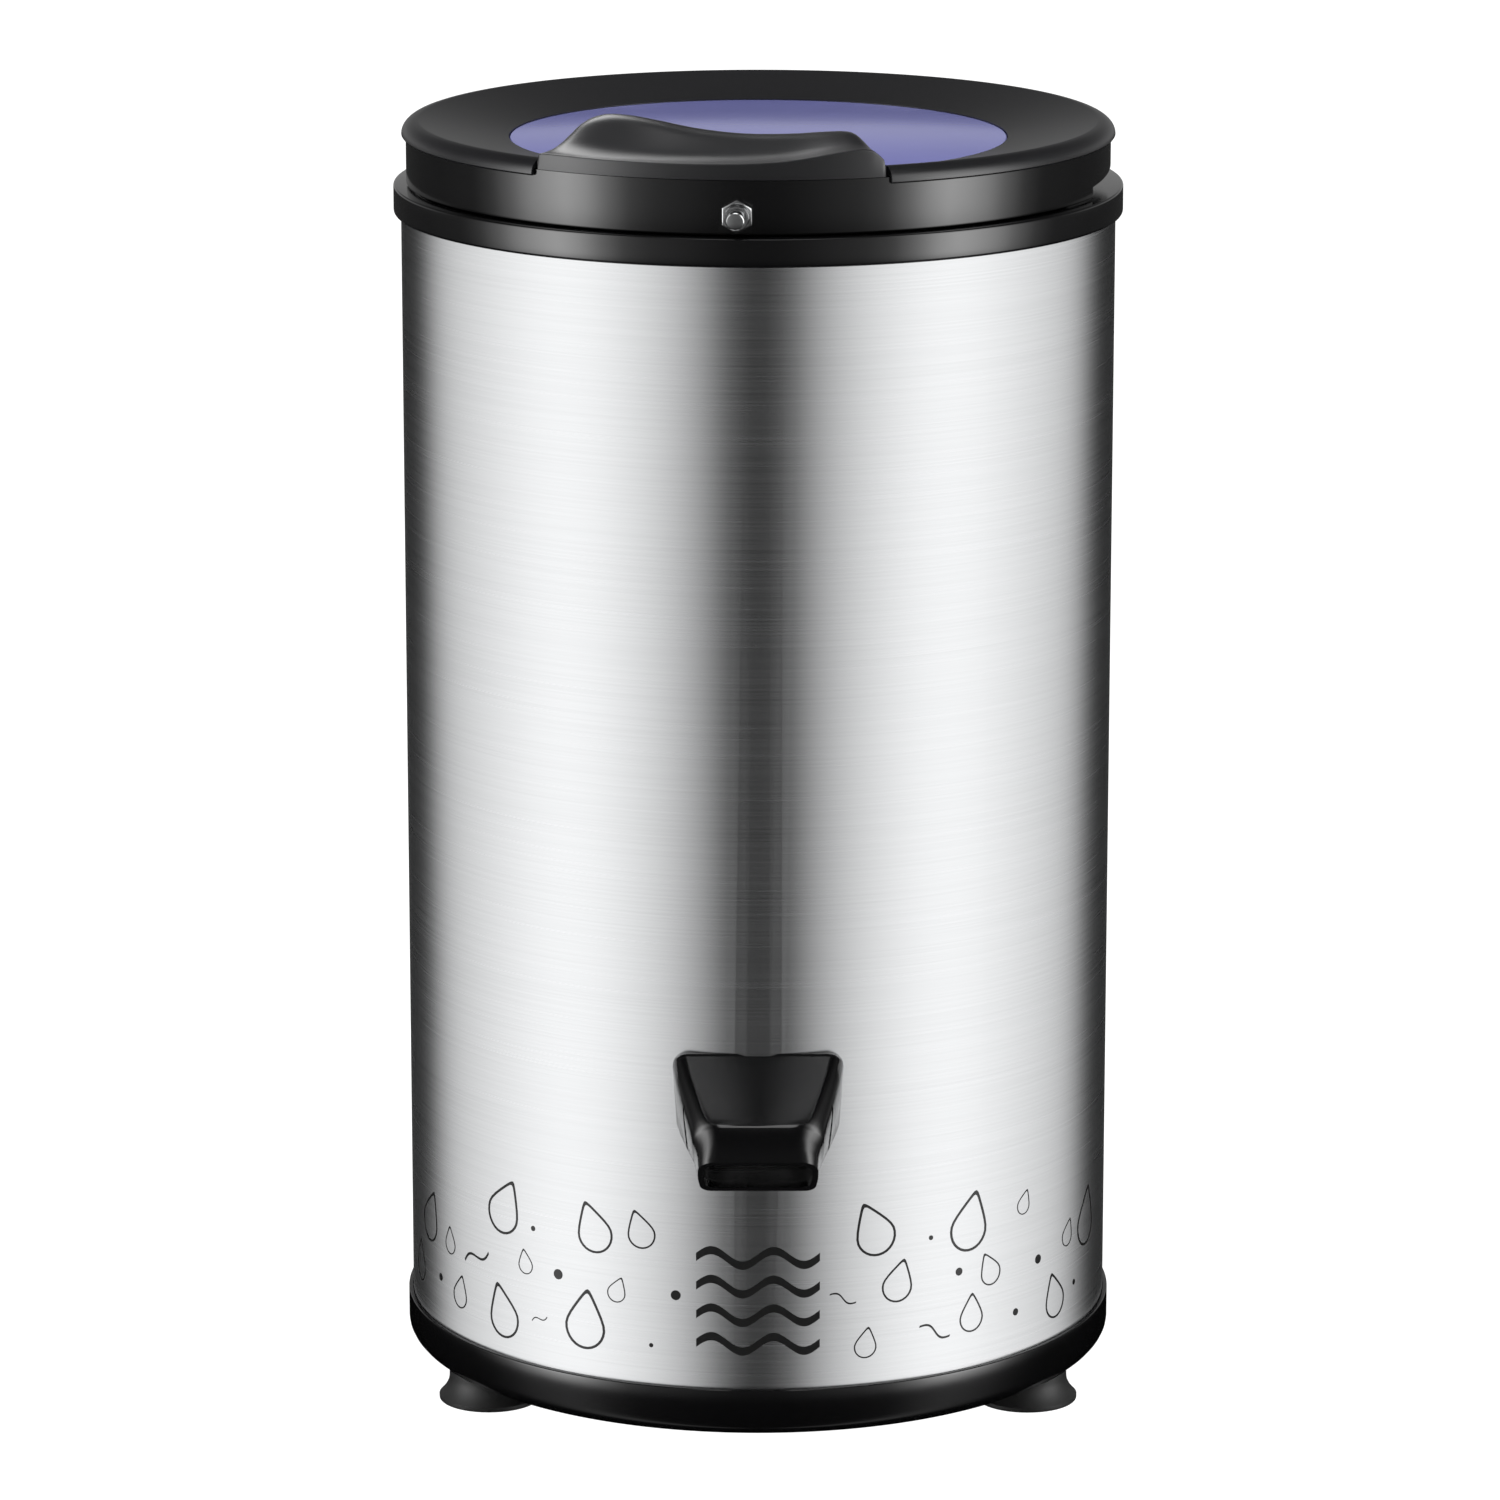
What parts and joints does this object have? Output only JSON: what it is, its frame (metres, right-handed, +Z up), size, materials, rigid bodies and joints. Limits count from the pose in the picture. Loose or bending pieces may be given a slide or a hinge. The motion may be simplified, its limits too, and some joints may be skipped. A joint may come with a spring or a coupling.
{
  "type": "spin dryer",
  "caption": "Free-standing top-loading spin dryer: steel drum casing, black base, hinged lid with tinted window and lever handle, front drain spout and a motor-driven drum.",
  "frame": {"origin": "on the floor under the middle of the overall box; the spin axis stands 15.2 mm behind it", "axes": "+Z up, -Y towards the drain spout at the front, +X to the viewer's right"},
  "size_m": [0.345, 0.4035, 0.63],
  "materials": {
    "shell_steel": "brushed round",
    "gloss_black": "gloss",
    "satin_black": "satin",
    "window_tint": "gloss tinted",
    "rubber": "matte",
    "bright_metal": "bright",
    "zinc_metal": "zinc plated",
    "cast_metal": "cast",
    "core_iron": "laminated",
    "winding_copper": "enamelled",
    "grey_plastic": "moulded"
  },
  "bodies": {
    "housing": {"outer_shell": "shell_steel", "base_tray": "gloss_black", "collar": "gloss_black", "spout": "gloss_black", "hinge_bracket": "satin_black", "foot_1": "rubber", "foot_2": "rubber", "foot_3": "rubber", "damper_1": "rubber", "damper_2": "rubber", "damper_3": "rubber", "drain_gasket": "rubber", "shaft_seal": "rubber", "cord_gland": "rubber", "hinge_pin": "bright_metal", "bearing_upper": "bright_metal", "bearing_lower": "bright_metal", "foot_screw_1": "zinc_metal", "foot_screw_2": "zinc_metal", "foot_screw_3": "zinc_metal", "damper_bolt_1": "zinc_metal", "damper_bolt_2": "zinc_metal", "damper_bolt_3": "zinc_metal", "damper_nut_1": "zinc_metal", "damper_nut_2": "zinc_metal", "damper_nut_3": "zinc_metal", "motor_plate": "zinc_metal", "hinge_screw_1": "zinc_metal", "hinge_screw_2": "zinc_metal", "brake_post": "zinc_metal", "motor_case_lower": "cast_metal", "motor_case_upper": "cast_metal", "stator_core": "core_iron", "winding_upper": "winding_copper", "winding_lower": "winding_copper", "tub": "grey_plastic", "capacitor": "grey_plastic"},
    "lid": {"lid_skirt": "gloss_black", "lid_cover": "satin_black", "lid_window": "window_tint", "window_gasket": "rubber", "hinge_leaf": "satin_black", "leaf_screw_1": "zinc_metal", "leaf_screw_2": "zinc_metal", "lock_bush": "bright_metal", "lock_nut": "bright_metal", "handle_pin": "bright_metal"},
    "handle": {"lid_handle": "satin_black"},
    "lock_pin": {"lock_pin": "bright_metal"},
    "drum": {"drum": "bright_metal", "drum_rim": "bright_metal", "drum_hub": "cast_metal", "hub_nut": "zinc_metal", "drum_shaft": "bright_metal", "rotor": "core_iron", "brake_drum": "zinc_metal"},
    "brake_lever": {"brake_lever": "zinc_metal"}
  },
  "joints": [
    {"name": "lid_open", "type": "hinge", "parent": "housing", "child": "lid", "pos_m": [0.02585, 0.19126, 0.592], "axis": [-0.9894, 0.1452, 0], "range_deg": [0, 95]},
    {"name": "handle_lift", "type": "hinge", "parent": "lid", "child": "handle", "pos_m": [-0.01989, -0.1204, 0.6043], "axis": [-0.9894, 0.1452, 0], "range_deg": [0, 12], "stiffness_Nm_per_rad": 0.4},
    {"name": "lock_push", "type": "slide", "parent": "lid", "child": "lock_pin", "axis": [0.0558, 0.9984, 0], "range_m": [0, 0.004], "stiffness_N_per_m": 300},
    {"name": "drum_spin", "type": "hinge", "parent": "housing", "child": "drum", "pos_m": [0, 0.01515, 0.25], "axis": [0, 0, 1], "continuous": true},
    {"name": "brake_close", "type": "hinge", "parent": "housing", "child": "brake_lever", "pos_m": [-0.02001, 0.07012, 0.159], "axis": [0, 0, 1], "range_deg": [0, 3], "stiffness_Nm_per_rad": 0.5}
  ]
}
